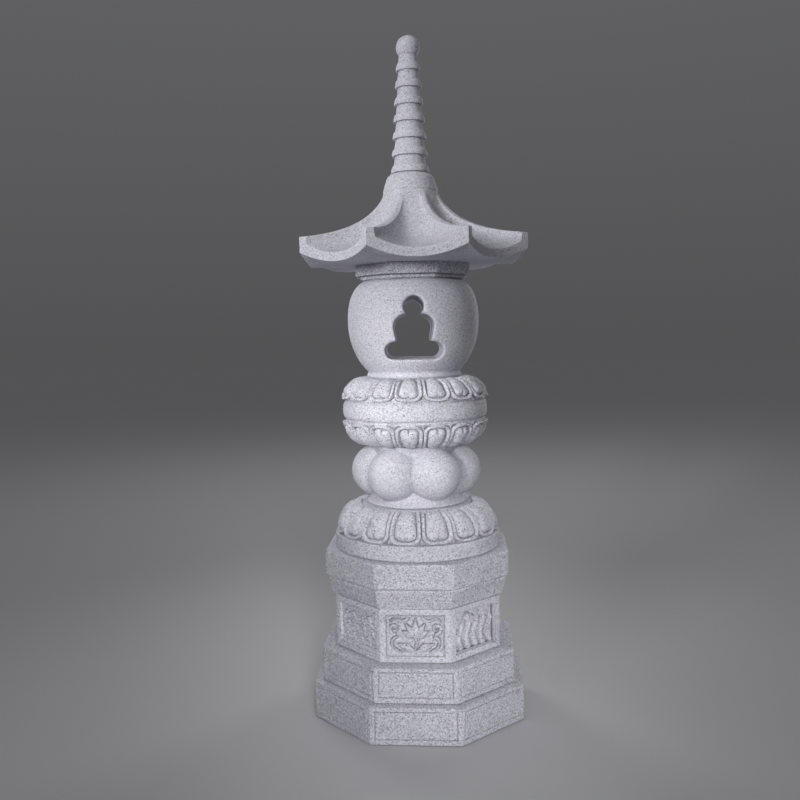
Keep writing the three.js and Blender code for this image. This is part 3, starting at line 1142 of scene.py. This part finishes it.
@dataclass(frozen=True, kw_only=True)
class FireBox(Stone):
    """Barrel-shaped stone with a seated figure's outline cut straight through it."""

    height: float = 374.0
    belly: float = 254.0
    head: Pair = (38.0, 270.0)
    shoulder: Pair = (74.5, 194.0)
    waist: Pair = (65.0, 145.0)
    seat: tuple[float, float, float] = (107.5, 76.0, 140.0)
    neck_angle: float = 45.0
    overshoot: float = 20.0
    steps: int = 128
    voxel: float = 4.2
    smoothing: int = 6
    rim_width: float = 12.0
    rim_inside: float = 190.0
    rim_rounds: int = 24
    bumps: tuple[Pair, ...] = ((0.7, 30.0),)

    def barrel(self) -> np.ndarray:
        """Return the outline of the barrel and its foot ring."""
        low = ((177, 25), (225, 70), (self.belly, 140), (self.belly, 225))
        high = ((self.belly, 225), (self.belly, 300), (232, 352), (192, self.height))
        shares = [step / 18 for step in range(1, 19)]
        rising = [curve(low, share) for share in shares]
        closing = [curve(high, share) for share in shares[:-1]]
        return eased([*bed_edge(182, 1, 5), (184, 13, 7), (177, 25, 2), *rising, *closing,
                      (192, self.height, 4), (0, self.height, 0, 1)], spacing=8)

    def figure(self) -> list[Pair]:
        """Return the window's outline, across and up, in mm, all the way round."""
        half, bottom, top = self.seat
        end = (top - bottom) / 2
        neck = (self.head[0] * math.cos(math.radians(self.neck_angle)),
                self.head[1] - self.head[0] * math.sin(math.radians(self.neck_angle)))
        above_shoulder = (self.shoulder[0], neck[1] - 6)
        right = curl((half - end, (bottom + top) / 2), end, -90, 180, 1.0, 17)
        right += [(self.waist[0], top), self.waist]
        right += [curve((self.shoulder, above_shoulder, neck), step / 8) for step in range(9)]
        right += curl((0, self.head[1]), self.head[0], -self.neck_angle, 90 + self.neck_angle, 1.0, 17)[1:]
        return right + [(-across, up) for across, up in reversed(right[:-1])]

    def cutter(self) -> Piece:
        """Return a prism of the window's outline, long enough to pass right through."""
        reach = (self.belly + self.overshoot) * MM
        prism = primitive("window", bpy.ops.mesh.primitive_plane_add, size=10 * MM)
        with editing(prism):
            draw([Vector((across * MM, -reach, (self.bed + up) * MM)) for across, up in self.figure()])
            bpy.ops.mesh.remove_doubles(threshold=0.01 * MM)
            bpy.ops.mesh.edge_face_add()
            bpy.ops.mesh.extrude_region_move(TRANSFORM_OT_translate={"value": (0, 2 * reach, 0)})
            close_skin()
        return prism

    def build(self) -> Piece:
        """Return the stone's form."""
        piece = self.turned(self.barrel(), self.steps)
        prism = self.cutter()
        modify(piece, "BOOLEAN", operation="DIFFERENCE", object=prism, solver="EXACT")
        bpy.data.objects.remove(prism)
        modify(piece, "REMESH", mode="VOXEL", voxel_size=self.voxel * MM)
        modify(piece, "SMOOTH", factor=0.5, iterations=self.smoothing)
        rim = piece.vertex_groups.new(name="rim")
        rim.add(np.flatnonzero(self.near_rim(piece)).tolist(), 1.0, "REPLACE")
        modify(piece, "SMOOTH", factor=0.5, iterations=self.rim_rounds, vertex_group=rim.name)
        piece.vertex_groups.clear()
        return piece

    def near_rim(self, piece: Piece) -> np.ndarray:
        """Say of each point whether it is on the window's rim, which the mason has rounded off.

        Args:
            piece: The stone with its window.

        Returns:
            One truth value a point.
        """
        points = points_of(piece)
        outline = np.array(self.figure())
        spans = np.roll(outline, -1, axis=0) - outline
        dense = np.concatenate([outline + spans * share for share in (0, 0.2, 0.4, 0.6, 0.8)])
        aside = points[:, None, 0] - dense[None, :, 0]
        above = points[:, None, 2] - self.bed - dense[None, :, 1]
        outside = np.hypot(points[:, 0], points[:, 1]) > self.rim_inside
        return (np.hypot(aside, above).min(axis=1) < self.rim_width) & outside


# Roof


@dataclass(frozen=True, kw_only=True)
class Collar(EightSidedStone):
    """Eight-sided neck in two bands under the roof."""

    height: float = 60.0
    corner: float = 233.0
    lower_corner: float = 213.0
    step: float = 17.0
    arris: float = 2.0
    cell: float = 7.0
    long_edge: float = 60.0
    sharp_inside: float = 206.0
    bumps: tuple[Pair, ...] = ((1.0, 30.0),)

    def build(self) -> Piece:
        """Return the neck's form."""
        piece = self.sided([*bed_edge(self.lower_corner, 1.5), (self.lower_corner, self.step),
                            (self.corner, self.step, 2), (self.corner, self.height, 1.5),
                            (0, self.height, 0, 1)], spacing=10)
        with editing(piece):
            self.round_arrises(piece, self.sharp_inside)
            split_long(piece, self.cell, self.long_edge)
        return piece


@dataclass(frozen=True, kw_only=True)
class Roof(Stone):
    """Eight-sided roof: scooped panels between crested hips, upturned corners and a round cap.

    Args:
        height: Its height, in mm.
        eave_middle: Radius, underside and top of the eave at a panel's middle, in mm.
        eave_corner: The same at a corner of the roof.
        soffit_flat: Radius of the flat part of the underside, in mm.
        soffit_rows: Rows of points from there to the eave.
        crest_edge: Distance of the crest's edge from the hip at the eave and at the cap, in mm.
        wall_foot: The same for the foot of the scoop's wall.
        foot_rise: Share of the hip's height that this foot has at each place of foot_ways.
        foot_ways: Places between the eave, 0, and the cap, 1.
        scoop_power: How flat the scoop's middle is at the eave and higher up.
        scoop_change: Share of the slope over which that changes.
        arch_power: How flat the underside's arch is.
        slope_middle: Inner knots of the slope's curve at a panel's middle, in mm.
        slope_hip: The same along a hip.
        slope_rows: Rows of points on the slope.
        cap_foot: Radius and height of the cap's foot, in mm.
        cap_top: The same of its upper edge.
        cap_bed: Radius of the cap's top, in mm.
        cap_step: How far the cap stands out over the slope, in mm.
    """

    height: float = 348.0
    eave_middle: tuple[float, float, float] = (393.0, 0.0, 34.0)
    eave_corner: tuple[float, float, float] = (455.0, 40.0, 100.0)
    soffit_flat: float = 250.0
    soffit_rows: int = 12
    crest_edge: Pair = (22.0, 13.0)
    wall_foot: Pair = (26.0, 20.0)
    foot_rise: tuple[float, ...] = (0.53, 0.67, 0.67, 0.3)
    foot_ways: tuple[float, ...] = (0.0, 0.15, 0.5, 1.0)
    scoop_power: Pair = (2.3, 3.0)
    scoop_change: float = 0.25
    arch_power: float = 2.2
    slope_middle: tuple[Pair, Pair] = ((235.0, 39.0), (125.0, 143.0))
    slope_hip: tuple[Pair, Pair] = ((270.0, 118.0), (149.0, 174.0))
    slope_rows: int = 48
    cap_foot: Pair = (105.0, 282.0)
    cap_top: Pair = (89.0, 337.0)
    cap_bed: float = 76.0
    cap_step: float = 1.2
    bumps: tuple[Pair, ...] = ((1.0, 45.0), (0.5, 14.0))

    def stations(self) -> np.ndarray:
        """Return columns across a panel: 1 the wall's foot, 2 the crest's edge, 3 the hip."""
        half = [0.12, 0.24, 0.36, 0.48, 0.58, 0.67, 0.75, 0.82, 0.88, 0.94, 1.0, 1.17, 1.33, 1.5, 1.67, 1.83,
                2.0, 2.12, 2.3, 2.6, 3.0]
        return np.array([-value for value in reversed(half)] + [0.0] + half)

    def row(self, middle: Sequence[float], hip: Sequence[float], way: float, underside: bool) -> np.ndarray:
        """Return one row of a panel from its section at the middle and at the hip.

        Args:
            middle: Radius and height at the panel's middle, in mm.
            hip: Radius and height at the hip, in mm.
            way: Place between the eave, 0, and the cap, 1.
            underside: Whether the row is on the underside, which has no crest.

        Returns:
            Angle, radius and height of each column, one row each.
        """
        station = self.stations()
        distance = np.abs(station)
        panel_half = max(middle[0], self.cap_top[0]) * math.tan(HALF_SIDE)
        foot, crest = (1 - (ends[0] + (ends[1] - ends[0]) * way) / panel_half
                       for ends in (self.wall_foot, self.crest_edge))
        across = np.interp(distance, [0, 1, 2, 3], [0, foot, crest, 1])
        angle = np.sign(station) * np.arctan(across * math.tan(HALF_SIDE))
        stretch = hip[0] * math.cos(HALF_SIDE) / middle[0] if middle[0] else 1.0
        radius = middle[0] / np.cos(angle) * (1 + (stretch - 1) * across ** 2)
        if underside:
            rise = across ** self.arch_power
        else:
            foot_rise = float(np.interp(way, self.foot_ways, self.foot_rise))
            low_power, high_power = self.scoop_power
            power = low_power + (high_power - low_power) * min(1.0, way / self.scoop_change)
            climb = np.clip(distance - 1, 0, 1)
            soft = climb * climb * (3 - 2 * climb)
            wall = foot_rise + (1 - foot_rise) * (climb * way + soft * (1 - way))
            rise = np.where(distance > 1, wall, foot_rise * distance ** power)
        return np.stack([angle, radius, middle[1] + (hip[1] - middle[1]) * rise])

    def rows(self) -> list[np.ndarray]:
        """Return every row of a panel, from the axis below, out to the eave and in to the axis above."""
        found = [self.row((0, 0), (0, 0), 0, True)]
        flat_hip = self.soffit_flat / math.cos(HALF_SIDE)
        for step in range(self.soffit_rows + 1):
            share = step / self.soffit_rows
            out = self.soffit_flat + (self.eave_middle[0] - self.soffit_flat) * share
            hip = (flat_hip + (self.eave_corner[0] - flat_hip) * share, self.eave_corner[1] * share ** 1.5)
            found.append(self.row((out, self.eave_middle[1]), hip, 0, True))
        low = found.pop()
        top_middle, top_hip = ((ends[0], ends[2]) for ends in (self.eave_middle, self.eave_corner))
        high = self.row(top_middle, top_hip, 0, False)
        # Eased lower arris, the eave's face and eased upper arris
        for inset, lift in ((2.0, 0.0), (0.6, 0.6), (0.0, 2.2)):
            found.append(low + np.array([[0], [-inset], [lift]]))
        for share in (0.25, 0.5, 0.75):
            found.append(low + (high - low) * share)
        for inset, drop in ((0.0, 4.0), (1.0, 1.3), (3.5, 0.2)):
            found.append(high + np.array([[0], [-inset], [-drop]]))
        middles = (top_middle, *self.slope_middle, self.cap_foot)
        hips = (top_hip, *self.slope_hip, self.cap_foot)
        for step in range(1, self.slope_rows + 1):
            way = step / self.slope_rows
            found.append(self.row(curve(middles, way), curve(hips, way), way, False))
        cap = eased([(self.cap_foot[0] + self.cap_step, self.cap_foot[1] + 1.5),
                     (self.cap_top[0] + self.cap_step, self.cap_top[1] - 2, 5),
                     (self.cap_bed, self.height, 4), (self.cap_bed - 8, self.height)], spacing=8)
        for radius, height in [*cap, (0, self.height)]:
            found.append(self.row((radius, height), (radius, height), 1, False))
        return found

    def build(self) -> Piece:
        """Return the roof's form: one panel shaped by its rows, then eight turned copies."""
        rows = np.stack(self.rows())
        count, _, columns = rows.shape
        panel = primitive(self.name, bpy.ops.mesh.primitive_grid_add, x_subdivisions=columns - 1,
                          y_subdivisions=count - 1, size=1)
        angle, radius, level = rows[:, 0], rows[:, 1], rows[:, 2]
        places = np.stack([radius * np.cos(angle), radius * np.sin(angle), level + self.bed], axis=-1) * MM
        panel.data.vertices.foreach_set("co", places.reshape(-1).astype(np.float32))
        panel.data.update()
        panel.data.transform(Matrix.Rotation(math.radians(self.turn), 4, "Z"))
        repeat_round(panel, SIDES)
        return panel


@dataclass(frozen=True, kw_only=True)
class Spire(Stone):
    """Round shaft with seven rings under a jewel."""

    height: float = 525.0
    rings: int = 7
    pitch: float = 64.3
    ring_height: float = 31.0
    first_ring: float = 4.0
    ring_radius: Pair = (73.0, 47.0)
    shaft_radius: Pair = (62.5, 38.5)
    jewel_radius: float = 45.5
    jewel_up: float = 479.0
    jewel_neck: float = 34.5
    jewel_rows: int = 22
    steps: int = 96
    bumps: tuple[Pair, ...] = ((0.7, 25.0),)

    def build(self) -> Piece:
        """Return the spire's form."""
        corners: list[tuple[float, ...]] = [(0, 0), (self.shaft_radius[0], 0)]
        for ring in range(self.rings):
            share = ring / (self.rings - 1)
            radius, shaft = (ends[0] + (ends[1] - ends[0]) * share
                             for ends in (self.ring_radius, self.shaft_radius))
            bottom = self.first_ring + ring * self.pitch
            proud = radius - shaft
            corners += [(shaft - 1, bottom), (radius, bottom, 2.5),
                        (radius, bottom + 0.4 * self.ring_height, 6),
                        (radius - 0.35 * proud, bottom + 0.8 * self.ring_height, 5),
                        (shaft, bottom + self.ring_height, 1.5)]
        rise = self.height - self.jewel_up
        bow = math.acos(self.jewel_neck / self.jewel_radius)
        for step in range(self.jewel_rows):
            angle = -bow + (math.pi / 2 + bow) * step / self.jewel_rows
            peak = 1 + 0.05 * max(0.0, math.sin(angle)) ** 6
            corners.append((self.jewel_radius * math.cos(angle) / peak,
                            self.jewel_up + rise * math.sin(angle)))
        corners.append((0, self.height))
        return self.turned(eased(corners, spacing=6), self.steps)


# Studio


@dataclass(frozen=True)
class SoftLight:
    """Square studio lamp behind a diffuser.

    Args:
        name: Its name.
        place: Where it stands, in metres.
        target: The point that it faces, in metres.
        size: Its side, in metres.
        power: Its power, in watts.
        spread: Width of its beam, in degrees.
    """

    name: str
    place: tuple[float, float, float]
    target: tuple[float, float, float]
    size: float
    power: float
    spread: float

    def set_up(self) -> None:
        """Hang the lamp and point it."""
        lamp = bpy.data.lights.new(self.name, "AREA")
        lamp.shape = "SQUARE"
        lamp.size = self.size
        lamp.energy = self.power
        lamp.spread = math.radians(self.spread)
        holder = bpy.data.objects.new(self.name, lamp)
        bpy.context.collection.objects.link(holder)
        holder.location = self.place
        facing = Vector(self.target) - Vector(self.place)
        holder.rotation_euler = facing.to_track_quat("-Z", "Y").to_euler()


@dataclass(frozen=True)
class Studio:
    """Pale floor, soft light and the camera at the photograph's angle."""

    floor_colour: str = "#cacacd"
    sky_colour: str = "#c8c8cb"
    sky_strength: float = 0.15
    zenith: float = 2.0
    camera_place: tuple[float, float, float] = (-0.0414, -3.3842, 1.4605)
    camera_yaw: float = 1.5
    camera_pitch: float = -3.552
    camera_roll: float = -1.264
    lens: float = 38.92
    shift: Pair = (0.0235, -0.0141)
    lights: tuple[SoftLight, ...] = (
        SoftLight("upper_left", (-2.2, -3.1, 2.6), (0.0, 0.0, 2.0), 1.2, 7.0, 45.0),
        SoftLight("middle_left", (-1.6, -3.6, 1.7), (0.0, 0.0, 1.14), 0.6, 0.75, 12.5),
        SoftLight("low_front", (0.6, -4.0, 1.5), (0.0, 0.0, 0.25), 1.2, 3.1, 22.0),
        SoftLight("top_soft", (-0.4, -1.2, 5.0), (0.0, 0.0, 1.2), 3.0, 4.0, 80.0),
        SoftLight("back_left", (-2.4, 3.9, 2.8), (0.0, 0.0, 1.5), 1.6, 8.5, 60.0),
        SoftLight("back_right", (2.8, 3.4, 2.4), (0.0, 0.0, 1.5), 1.6, 6.5, 60.0),
        SoftLight("floor_soft", (0.0, 4.5, 5.5), (0.0, 4.2, 0.0), 4.0, 40.0, 150.0),
    )

    def set_up(self) -> None:
        """Build the floor, the sky, the lamps and the camera."""
        self.floor()
        self.sky()
        for light in self.lights:
            light.set_up()
        self.camera()
        bpy.context.scene.view_settings.view_transform = "Standard"

    def floor(self) -> None:
        """Lay a wide floor of one tone."""
        ground = primitive("studio_floor", bpy.ops.mesh.primitive_circle_add, vertices=96, radius=40,
                           fill_type="NGON", location=(0, 0, 0))
        material = bpy.data.materials.new("studio floor, matt paint")
        material.use_nodes = True
        shader = material.node_tree.nodes["Principled BSDF"]
        shader.inputs["Base Color"].default_value = linear(self.floor_colour)
        shader.inputs["Roughness"].default_value = 0.9
        shader.inputs["Specular IOR Level"].default_value = 0.2
        ground.data.materials.append(material)

    def sky(self) -> None:
        """Fill the room with soft light, brighter overhead, so that the floor meets it without an edge."""
        world = bpy.data.worlds.new("studio")
        world.use_nodes = True
        tree = world.node_tree
        background = tree.nodes["Background"]
        direction = add_node(tree, "ShaderNodeTexCoord", {})["Generated"]
        height = add_node(tree, "ShaderNodeSeparateXYZ", {"Vector": direction})["Z"]
        glow = add_node(tree, "ShaderNodeMapRange", {"Value": height, "To Min": self.sky_strength,
                                                     "To Max": self.sky_strength * self.zenith})
        background.inputs["Color"].default_value = linear(self.sky_colour)
        tree.links.new(glow[0], background.inputs["Strength"])
        bpy.context.scene.world = world

    def camera(self) -> None:
        """Set the camera where the photograph was taken from."""
        lens = bpy.data.cameras.new("photograph")
        lens.lens = self.lens
        lens.sensor_width = 36
        lens.shift_x, lens.shift_y = self.shift
        holder = bpy.data.objects.new("photograph", lens)
        bpy.context.collection.objects.link(holder)
        turn = (Matrix.Rotation(math.radians(self.camera_yaw), 4, "Z")
                @ Matrix.Rotation(math.radians(90 + self.camera_pitch), 4, "X")
                @ Matrix.Rotation(math.radians(self.camera_roll), 4, "Z"))
        holder.matrix_world = Matrix.Translation(self.camera_place) @ turn
        bpy.context.scene.camera = holder


# The whole


STONES: tuple[Stone, ...] = (
    GroovedTier(node="base_lower_tier", slot=Slot.CHISELLED, bed=0.0, turn=BASE_TURN,
                height=138.0, corner=430.0),
    GroovedTier(node="base_upper_tier", slot=Slot.CHISELLED, bed=138.0, turn=BASE_TURN,
                height=130.0, corner=394.0),
    PedestalBlock(node="pedestal_block", slot=Slot.CARVED, bed=268.0, turn=BASE_TURN),
    Cornice(node="pedestal_cornice", slot=Slot.CHISELLED, bed=475.0, turn=BASE_TURN),
    LOWER_LOTUS,
    LobedStone(node="lobed_stone", slot=Slot.HONED, bed=806.0, turn=-4.0),
    UPPER_LOTUS,
    FireBox(node="fire_box", slot=Slot.HONED, bed=1293.0),
    Collar(node="roof_collar", slot=Slot.CHISELLED, bed=1667.0, turn=0.1),
    Roof(node="roof", slot=Slot.HONED, bed=1727.0, turn=2.1),
    Spire(node="spire", slot=Slot.HONED, bed=2075.0),
)


def main() -> None:
    """Dress every stone from the ground up, then set up the studio."""
    logging.basicConfig(level=logging.INFO, format="%(message)s")
    for stone in STONES:
        finish_piece(stone.worked(), stone.node, stone.slot)
    Studio().set_up()


if __name__ == "__main__":
    main()
